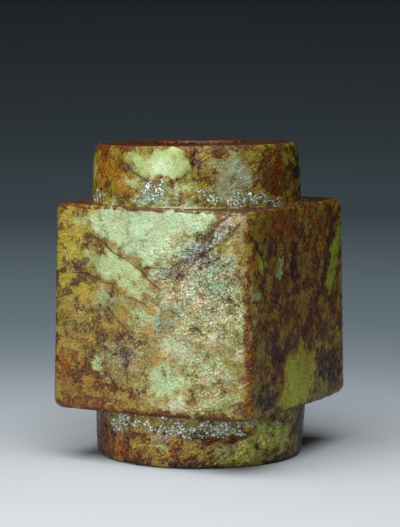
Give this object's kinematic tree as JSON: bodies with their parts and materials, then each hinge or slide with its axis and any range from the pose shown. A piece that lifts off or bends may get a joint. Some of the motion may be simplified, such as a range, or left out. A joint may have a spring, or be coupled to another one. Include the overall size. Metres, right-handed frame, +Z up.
{
  "type": "jade cong",
  "caption": "Plain jade cong: a square block with softly rounded edges, a round collar above, a round foot below and a bore along its whole length.",
  "frame": {"origin": "on the ground, under the middle of the square body", "axes": "+Z up along the bore; X and Y square to the body's faces. The picture's broad lit face looks along -Y and its darker side face along +X"},
  "size_m": [0.0742, 0.0742, 0.1023],
  "materials": {
    "jade": "satin"
  },
  "bodies": {
    "root": {"cong": "jade"}
  },
  "joints": []
}
